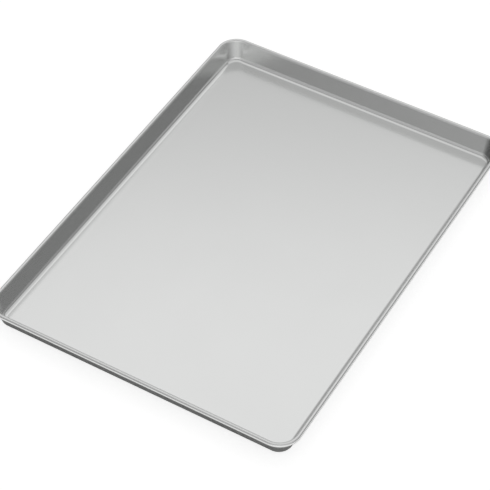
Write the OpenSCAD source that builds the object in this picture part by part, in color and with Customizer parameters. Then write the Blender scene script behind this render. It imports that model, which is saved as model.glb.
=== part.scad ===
// A jelly roll pan: one pressed steel sheet whose edge is rolled round a wire.
// The long side lies along Y, the floor rests on Z = 0, and the middle of the
// floor is over the origin. All sizes are in millimetres and degrees.

/* [Pan] */
// Overall length, over the rolled rim
pan_length = 442; // [360:1:520]
// Overall width, over the rolled rim
pan_width = 318; // [240:1:400]
// Overall height, from the table to the top of the rim
pan_height = 23; // [18:0.5:40]
// Radius of the rim's outer edge at each corner, seen from above
corner_radius = 21.5; // [19.5:0.5:40]
// Lean of the walls, from upright
wall_draft = 14; // [5:1:20]
// Radius of the bend where the walls meet the floor, on its inside
foot_radius = 5; // [2:0.1:8]
// Thickness of the steel sheet
sheet_thickness = 0.7; // [0.4:0.05:1]

/* [Rolled rim] */
// Diameter of the wire inside the rim
wire_diameter = 2.9; // [1.6:0.1:3.6]
// Clearance between the wire and the sheet round it
wire_clearance = 0.05; // [0.03:0.01:0.2]
// How far the sheet rolls round the wire
curl_sweep = 300; // [210:5:305]
// Gap between the two ends of the wire, in the middle of one long side
wire_gap = 1; // [0.2:0.1:5]

/* [Smoothness] */
// Largest turn between two points along a bend of the sheet
bend_turn = 7.5; // [5:0.5:15]
// Facets of a full circle
circle_facets = 64; // [32:8:128]

/* [Hidden] */
$fn = circle_facets;

half_sheet = sheet_thickness / 2;
wall_slope = 90 - wall_draft;

// From the middle of the pan to the upright axis that each corner turns about
axis_x = pan_width / 2 - corner_radius;
axis_y = pan_length / 2 - corner_radius;

// Radii of the sheet's bends, at the middle of its thickness
foot_bend = foot_radius + half_sheet;
curl_bend = wire_diameter / 2 + wire_clearance + half_sheet;

// Middle of the wire, out from the corner's axis and up from the table
rim_out = corner_radius - curl_bend - half_sheet;
rim_up = pan_height - curl_bend - half_sheet;

// Straight stretches between the bends
wall_rise = rim_up - half_sheet - foot_bend + (foot_bend + curl_bend) * cos(wall_slope);
wall_straight = wall_rise / sin(wall_slope);
floor_straight = rim_out - (foot_bend + curl_bend) * sin(wall_slope)
    - wall_straight * cos(wall_slope);

// The sheet's path, out from the corner's axis: straights as [length, 0] and
// bends as [radius, turn], where a turn above 0 bends up
path = [
    [floor_straight, 0],
    [foot_bend, wall_slope],
    [wall_straight, 0],
    [curl_bend, -curl_sweep],
];

function along(angle) = [cos(angle), sin(angle)];
function across(angle) = [-sin(angle), cos(angle)];
function heading(i) = i == 0 ? 0 : heading(i - 1) + path[i - 1][1];
function start_of(i) = i == 0 ? [0, half_sheet] : point_on(i - 1, 1, 0);

// A point on one piece of the path: share is how far along it lies, from 0 to 1,
// and side is how far it lies above the middle of the sheet
function point_on(i, share, side) =
    let (size = path[i][0], turn = path[i][1], way = sign(turn))
    turn == 0
        ? start_of(i) + share * size * along(heading(i)) + side * across(heading(i))
        : start_of(i) + way * size * across(heading(i))
            + (side - way * size) * across(heading(i) + share * turn);

function points_in(i) = max(1, ceil(abs(path[i][1]) / bend_turn));

// One face of the sheet, from the corner's axis to the end of the curl
function face_of_sheet(side) = [
    [0, half_sheet + side],
    for (i = [0 : len(path) - 1], k = [1 : points_in(i)]) point_on(i, k / points_in(i), side)
];

function reversed(list) = [for (i = [len(list) - 1 : -1 : 0]) list[i]];

// The sheet cut through, from the corner's axis outwards
module sheet_section() {
    polygon(concat(face_of_sheet(half_sheet), reversed(face_of_sheet(-half_sheet))));
}

// The wire cut through, at its place inside the curl
module wire_section() {
    translate([rim_out, rim_up]) circle(d = wire_diameter);
}

// Carries a section from the middle of the long side, round one corner, to the
// middle of the short side
module quarter_run() {
    translate([axis_x, axis_y, 0]) rotate([90, 0, 0]) linear_extrude(axis_y) children();
    translate([axis_x, axis_y, 0]) rotate_extrude(angle = 90) children();
    translate([0, axis_y, 0]) rotate([90, 0, 90]) linear_extrude(axis_x) children();
}

// The pan is the same on both sides of its two middle planes
module four_quarters() {
    for (x = [0, 1], y = [0, 1]) mirror([x, 0, 0]) mirror([0, y, 0]) children();
}

// The pressed pan in one sheet: flat floor, rounded foot, walls and rolled rim
module pan_shell() {
    color("silver") four_quarters() {
        quarter_run() sheet_section();
        cube([axis_x, axis_y, sheet_thickness]);
    }
}

// The stiffening wire inside the rolled rim, one length bent to a ring
module rim_wire() {
    color("gray") difference() {
        four_quarters() quarter_run() wire_section();
        translate([axis_x, -wire_gap / 2, rim_up - wire_diameter])
            cube([corner_radius, wire_gap, 2 * wire_diameter]);
    }
}

pan_shell();
rim_wire();
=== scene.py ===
import math

import bmesh
import bpy
from mathutils import Matrix, Vector


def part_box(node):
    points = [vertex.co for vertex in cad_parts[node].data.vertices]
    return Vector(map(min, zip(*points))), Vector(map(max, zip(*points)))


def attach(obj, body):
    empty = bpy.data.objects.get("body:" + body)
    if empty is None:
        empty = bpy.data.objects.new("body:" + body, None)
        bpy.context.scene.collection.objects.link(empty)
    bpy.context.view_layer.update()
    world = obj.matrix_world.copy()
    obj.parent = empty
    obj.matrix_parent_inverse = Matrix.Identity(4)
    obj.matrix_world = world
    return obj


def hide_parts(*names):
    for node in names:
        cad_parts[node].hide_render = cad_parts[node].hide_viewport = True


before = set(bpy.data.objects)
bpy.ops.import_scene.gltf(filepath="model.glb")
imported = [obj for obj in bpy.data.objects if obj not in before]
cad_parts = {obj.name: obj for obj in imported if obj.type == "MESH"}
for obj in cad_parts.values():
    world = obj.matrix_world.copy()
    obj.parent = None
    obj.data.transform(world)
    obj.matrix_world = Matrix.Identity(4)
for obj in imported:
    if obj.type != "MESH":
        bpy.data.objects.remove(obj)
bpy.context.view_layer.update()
print("frame:", ", ".join(sorted(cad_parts)))

mm = 0.001  # this scene is in metres, the drawing's sizes are in millimetres


# Camera: how the pan is turned, and how far off and off centre it is aimed

shot = {
    "turn": 29.202,  # degrees to the right of the pan's short front side
    "height": 46.993,  # degrees above the table
    "roll": 1.215,
    "distance": 1793.9,  # millimetres, along the line of sight
    "aimRight": -10.37,  # where the lens points, from the middle of the rim
    "aimUp": -20.76,
    "pixelsPerUnit": 1901.0,  # size in pixels of an object as wide as it is far
    "frameWidth": 490,
    "sensorWidth": 36.0,
}


def addCamera(rimHeight):
    stand = (
        Matrix.Rotation(math.radians(shot["turn"]), 4, "Z")
        @ Matrix.Rotation(math.radians(90 - shot["height"]), 4, "X")
        @ Matrix.Rotation(math.radians(shot["roll"]), 4, "Z")
    )
    offset = Vector((shot["aimRight"], shot["aimUp"], shot["distance"])) * mm
    place = Matrix.Translation(stand @ offset + Vector((0, 0, rimHeight)))
    bpy.ops.object.camera_add()
    camera = bpy.context.object
    camera.name = "productCamera"
    camera.matrix_world = place @ stand
    camera.data.sensor_width = shot["sensorWidth"]
    camera.data.lens = shot["sensorWidth"] * shot["pixelsPerUnit"] / shot["frameWidth"]
    bpy.context.scene.camera = camera


# Small helpers for materials

def newMaterial(name):
    material = bpy.data.materials.new(name)
    material.use_nodes = True
    nodes = material.node_tree.nodes
    return material, nodes, material.node_tree.links, nodes["Principled BSDF"]


def addNode(nodes, kind, **inputs):
    node = nodes.new(kind)
    for socket, value in inputs.items():
        node.inputs[socket.replace("_", " ")].default_value = value
    return node


def selectNothing():
    for item in bpy.context.selected_objects:
        item.select_set(False)


# The pressed sheet: its section is drawn once, then swept round the pan

panSheet = {
    "thickness": 0.7,
    "cornerRadius": 21.5,  # the rim's outer edge, seen from above
    "footBend": 5.35,  # bends are measured at the middle of the sheet
    "wallLean": 14,
    "curlBend": 1.85,
    "curlSweep": 300,
    "bendTurn": 4,  # degrees from point to point along a bend
    "cornerSteps": 24,
    "mergeWithin": 0.001,  # points closer than this become one
    "levelWithin": 0.01,  # how far from the lowest point still counts as the floor
    "smoothAngle": 35,  # edges that turn more than this stay sharp
}


def drawStraight(spot, heading, length):
    step = Vector((math.cos(heading), 0, math.sin(heading))) * length
    bpy.ops.mesh.extrude_vertices_move(TRANSFORM_OT_translate={"value": step})
    return spot + step


def drawBend(spot, heading, radius, turn):
    # turn is above 0 where the sheet bends up
    side = math.copysign(1, turn)
    toCentre = Vector((-math.sin(heading), 0, math.cos(heading))) * side * radius
    centre = spot + toCentre
    steps = math.ceil(abs(turn) / math.radians(panSheet["bendTurn"]))
    bpy.ops.mesh.spin(steps=steps, angle=turn, center=centre, axis=(0, 1, 0))
    newHeading = heading + turn
    fromCentre = Vector((math.sin(newHeading), 0, -math.cos(newHeading))) * side * radius
    return centre + fromCentre, newHeading


def drawSection(low, high):
    size = {key: value * mm for key, value in panSheet.items()}
    slope = math.radians(90 - panSheet["wallLean"])
    halfSheet = size["thickness"] / 2
    curlReach = size["curlBend"] + halfSheet
    bends = size["footBend"] + size["curlBend"]
    axisX, axisY = high.x - size["cornerRadius"], high.y - size["cornerRadius"]

    heightLeft = high.z - low.z - curlReach - halfSheet - size["footBend"]
    wall = (heightLeft + bends * math.cos(slope)) / math.sin(slope)
    wallWidth = bends * math.sin(slope) + wall * math.cos(slope)
    floorRun = size["cornerRadius"] - curlReach - wallWidth

    # one point on the corner's upright axis, from a small square drawn together
    spot = Vector((axisX, -axisY, low.z + halfSheet))
    bpy.ops.mesh.primitive_plane_add(size=mm, location=spot)
    bpy.ops.object.mode_set(mode="EDIT")
    bpy.ops.mesh.merge(type="CENTER")

    spot = drawStraight(spot, 0.0, floorRun)
    spot, heading = drawBend(spot, 0.0, size["footBend"], slope)
    spot = drawStraight(spot, heading, wall)
    drawBend(spot, heading, size["curlBend"], -math.radians(panSheet["curlSweep"]))
    return axisX, axisY


def sweepSection(axisX, axisY):
    bpy.ops.mesh.select_all(action="SELECT")
    sides = (
        ((0, 2 * axisY, 0), (axisX, axisY, 0)),
        ((-2 * axisX, 0, 0), (-axisX, axisY, 0)),
        ((0, -2 * axisY, 0), (-axisX, -axisY, 0)),
        ((2 * axisX, 0, 0), (axisX, -axisY, 0)),
    )
    for run, corner in sides:
        bpy.ops.mesh.extrude_edges_move(TRANSFORM_OT_translate={"value": run})
        bpy.ops.mesh.spin(
            steps=panSheet["cornerSteps"],
            angle=-math.radians(90),
            center=corner,
            axis=(0, 0, 1),
        )
    bpy.ops.mesh.select_all(action="SELECT")
    bpy.ops.mesh.remove_doubles(threshold=panSheet["mergeWithin"] * mm)


def closeFloor():
    # the open rectangle in the middle, between the four runs
    pan = bpy.context.object
    bpy.ops.mesh.select_mode(type="EDGE")
    bpy.ops.mesh.select_all(action="DESELECT")
    shape = bmesh.from_edit_mesh(pan.data)
    lowest = min(vertex.co.z for vertex in shape.verts)
    reach = panSheet["levelWithin"] * mm
    for edge in shape.edges:
        level = all(abs(vertex.co.z - lowest) < reach for vertex in edge.verts)
        edge.select_set(edge.is_boundary and level)
    bmesh.update_edit_mesh(pan.data)
    bpy.ops.mesh.edge_face_add()
    bpy.ops.mesh.select_all(action="SELECT")
    bpy.ops.mesh.normals_make_consistent(inside=False)
    bpy.ops.object.mode_set(mode="OBJECT")


def buildPanSheet():
    selectNothing()
    low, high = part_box("pan_shell")
    sweepSection(*drawSection(low, high))
    closeFloor()
    pan = bpy.context.object
    pan.name = pan.data.name = "pressed_sheet"
    bpy.ops.object.transform_apply(location=True, rotation=True, scale=True)

    solid = pan.modifiers.new("sheetThickness", "SOLIDIFY")
    solid.thickness = panSheet["thickness"] * mm
    solid.offset = 0
    solid.use_even_offset = True
    bpy.ops.object.modifier_apply(modifier=solid.name)
    bpy.ops.object.shade_smooth_by_angle(angle=math.radians(panSheet["smoothAngle"]))
    flats = pan.modifiers.new("flatFacesStayFlat", "WEIGHTED_NORMAL")
    flats.keep_sharp = True
    bpy.ops.object.modifier_apply(modifier=flats.name)
    return pan


# Satin silver coating on the sheet

coating = {
    "light": (0.76, 0.765, 0.76, 1),
    "dark": (0.70, 0.705, 0.70, 1),
    "roughLow": 0.16,
    "roughHigh": 0.20,
    "flakesPerMetre": 2600,
    "cloudsPerMetre": 14,
    "cloudDetail": 4,
    "peelPerMetre": 700,
    "peelDetail": 3,
    "peelStrength": 0.1,
    "peelDepth": 0.05,
}


def makeCoating():
    material, nodes, links, shader = newMaterial("satin_silver_coating")
    shader.inputs["Metallic"].default_value = 1.0
    place = nodes.new("ShaderNodeTexCoord").outputs["Object"]

    flakes = addNode(nodes, "ShaderNodeTexVoronoi", Scale=coating["flakesPerMetre"])
    shades = nodes.new("ShaderNodeMix")
    shades.data_type = "RGBA"
    shades.inputs["A"].default_value = coating["dark"]
    shades.inputs["B"].default_value = coating["light"]
    links.new(place, flakes.inputs["Vector"])
    links.new(flakes.outputs["Distance"], shades.inputs["Factor"])
    links.new(shades.outputs["Result"], shader.inputs["Base Color"])

    clouds = addNode(nodes, "ShaderNodeTexNoise", Scale=coating["cloudsPerMetre"])
    clouds.inputs["Detail"].default_value = coating["cloudDetail"]
    spread = addNode(
        nodes, "ShaderNodeMapRange", To_Min=coating["roughLow"], To_Max=coating["roughHigh"]
    )
    links.new(place, clouds.inputs["Vector"])
    links.new(clouds.outputs["Fac"], spread.inputs["Value"])
    links.new(spread.outputs["Result"], shader.inputs["Roughness"])

    peel = addNode(nodes, "ShaderNodeTexNoise", Scale=coating["peelPerMetre"])
    peel.inputs["Detail"].default_value = coating["peelDetail"]
    bump = addNode(nodes, "ShaderNodeBump", Strength=coating["peelStrength"])
    bump.inputs["Distance"].default_value = coating["peelDepth"] * mm
    links.new(place, peel.inputs["Vector"])
    links.new(peel.outputs["Fac"], bump.inputs["Height"])
    links.new(bump.outputs["Normal"], shader.inputs["Normal"])
    return material


# Plain drawn wire inside the rolled rim

rimWire = {
    "light": (0.50, 0.50, 0.51, 1),
    "dark": (0.38, 0.38, 0.39, 1),
    "pitsPerMetre": 900,
    "pitDetail": 4,
    "pitStrength": 0.2,
    "pitDepth": 0.05,
    "roughLow": 0.32,
    "roughHigh": 0.5,
}


def makeWireSteel():
    material, nodes, links, shader = newMaterial("drawn_wire_steel")
    shader.inputs["Metallic"].default_value = 1.0
    place = nodes.new("ShaderNodeTexCoord").outputs["Object"]
    pits = addNode(nodes, "ShaderNodeTexNoise", Scale=rimWire["pitsPerMetre"])
    pits.inputs["Detail"].default_value = rimWire["pitDetail"]
    shades = nodes.new("ShaderNodeMix")
    shades.data_type = "RGBA"
    shades.inputs["A"].default_value = rimWire["dark"]
    shades.inputs["B"].default_value = rimWire["light"]
    spread = addNode(
        nodes, "ShaderNodeMapRange", To_Min=rimWire["roughLow"], To_Max=rimWire["roughHigh"]
    )
    bump = addNode(nodes, "ShaderNodeBump", Strength=rimWire["pitStrength"])
    bump.inputs["Distance"].default_value = rimWire["pitDepth"] * mm
    links.new(place, pits.inputs["Vector"])
    links.new(pits.outputs["Fac"], shades.inputs["Factor"])
    links.new(pits.outputs["Fac"], spread.inputs["Value"])
    links.new(pits.outputs["Fac"], bump.inputs["Height"])
    links.new(shades.outputs["Result"], shader.inputs["Base Color"])
    links.new(spread.outputs["Result"], shader.inputs["Roughness"])
    links.new(bump.outputs["Normal"], shader.inputs["Normal"])
    return material


# Studio: a white table, and a soft sky that is built up from four sides

studio = {
    "tableSize": 40.0,
    "tableColour": (0.45, 0.45, 0.45, 1),
    "tableGlow": 0.76,  # for the lens and for what the metal mirrors
    "shadeReach": 0.1,  # metres that count when the table is shaded by the pan
    "shadeFull": 0.65,  # share of clear space at which the glow is gone
    "shadeNone": 0.95,
    "skyLight": 1.0,
    "sideFalloff": 2.0,  # power of the cosine round from a side's middle
}

# each side's place, in degrees round from +X, and its brightness at these heights,
# which are the sines of the angle above the table; the values began as a fit to the
# photo's shading, then were rounded and some of them changed
skyHeights = (0.0, 0.2, 0.4, 0.55, 0.66, 0.74, 0.82, 0.9, 1.0)
skySides = {
    "behindCamera": (-61, (1.6, 0.8, 1.0, 1.0, 0.6, 0.4, 0.3, 0.7, 0.78)),
    "right": (29, (0.3, 0.45, 0.2, 0.4, 0.85, 0.55, 0.65, 0.75, 0.78)),
    "far": (119, (1.2, 0.7, 0.35, 0.65, 0.6, 1.05, 1.0, 0.87, 0.78)),
    "left": (209, (0.8, 0.05, 0.07, 0.45, 0.5, 0.5, 0.25, 0.82, 0.78)),
}


def addMath(nodes, links, operation, first, second):
    node = nodes.new("ShaderNodeMath")
    node.operation = operation
    links.new(first, node.inputs[0])
    if isinstance(second, (int, float)):
        node.inputs[1].default_value = second
    else:
        links.new(second, node.inputs[1])
    return node.outputs["Value"]


def addTable():
    bpy.ops.mesh.primitive_plane_add(size=studio["tableSize"])
    table = bpy.context.object
    table.name = "table"
    material, nodes, links, shader = newMaterial("white_table")
    shader.inputs["Base Color"].default_value = studio["tableColour"]
    shader.inputs["Roughness"].default_value = 1.0
    shader.inputs["Specular IOR Level"].default_value = 0.0
    shader.inputs["Emission Color"].default_value = (1, 1, 1, 1)

    ray = nodes.new("ShaderNodeLightPath").outputs
    # painted shade: for mirrored rays the table's glow fades where the pan closes in around
    # it, so the metal mirrors a dark table near its foot
    shade = addNode(nodes, "ShaderNodeAmbientOcclusion", Distance=studio["shadeReach"])
    clear = addNode(
        nodes, "ShaderNodeMapRange", From_Min=studio["shadeFull"], From_Max=studio["shadeNone"]
    )
    clear.interpolation_type = "SMOOTHSTEP"
    links.new(shade.outputs["AO"], clear.inputs["Value"])
    mirrored = addMath(nodes, links, "MULTIPLY", ray["Is Glossy Ray"], clear.outputs["Result"])
    seen = addMath(nodes, links, "MAXIMUM", ray["Is Camera Ray"], ray["Is Transmission Ray"])
    glow = addMath(nodes, links, "MAXIMUM", seen, mirrored)
    glow = addMath(nodes, links, "MULTIPLY", glow, studio["tableGlow"])
    links.new(glow, shader.inputs["Emission Strength"])
    table.data.materials.append(material)


def addSkySide(nodes, links, direction, height, turn, brightness):
    # this side counts for less, the further round from its middle
    turn = math.radians(turn)
    towards = nodes.new("ShaderNodeVectorMath")
    towards.operation = "DOT_PRODUCT"
    towards.inputs[1].default_value = (math.cos(turn), math.sin(turn), 0)
    links.new(direction, towards.inputs[0])
    facing = addMath(nodes, links, "MAXIMUM", towards.outputs["Value"], 0.0)
    share = addMath(nodes, links, "POWER", facing, studio["sideFalloff"])

    ramp = nodes.new("ShaderNodeValToRGB")
    steps = ramp.color_ramp.elements
    while len(steps) < len(skyHeights):
        steps.new(0.5)
    for step, place, level in zip(steps, skyHeights, brightness):
        step.position = place
        step.color = (level, level, level, 1)
    links.new(height, ramp.inputs["Fac"])
    return addMath(nodes, links, "MULTIPLY", ramp.outputs["Color"], share)


def addSky():
    world = bpy.data.worlds.new("sky")
    world.use_nodes = True
    nodes, links = world.node_tree.nodes, world.node_tree.links
    direction = nodes.new("ShaderNodeTexCoord").outputs["Generated"]
    split = nodes.new("ShaderNodeSeparateXYZ")
    level = nodes.new("ShaderNodeVectorMath")
    level.operation = "MULTIPLY"
    level.inputs[1].default_value = (1, 1, 0)
    compass = nodes.new("ShaderNodeVectorMath")
    compass.operation = "NORMALIZE"
    links.new(direction, split.inputs["Vector"])
    links.new(direction, level.inputs[0])
    links.new(level.outputs["Vector"], compass.inputs[0])

    total = None
    for turn, brightness in skySides.values():
        side = addSkySide(
            nodes, links, compass.outputs["Vector"], split.outputs["Z"], turn, brightness
        )
        total = side if total is None else addMath(nodes, links, "ADD", total, side)
    # past the table's far edge the lens sees plain white
    lens = nodes.new("ShaderNodeLightPath").outputs["Is Camera Ray"]
    total = addMath(nodes, links, "MAXIMUM", total, lens)
    links.new(total, nodes["Background"].inputs["Color"])
    nodes["Background"].inputs["Strength"].default_value = studio["skyLight"]
    bpy.context.scene.world = world


curlReach = (panSheet["curlBend"] + panSheet["thickness"] / 2) * mm
addCamera(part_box("pan_shell")[1].z - curlReach)
print("camera: set")

pan = buildPanSheet()
pan.data.materials.append(makeCoating())
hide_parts("pan_shell")
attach(pan, "root")
print("pressed sheet:", len(pan.data.polygons), "faces")

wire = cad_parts["rim_wire"]
wire.data.materials.clear()
wire.data.materials.append(makeWireSteel())
print("rim wire: dressed")

addTable()
addSky()
bpy.context.scene.view_settings.view_transform = "Standard"
print("studio: lit")
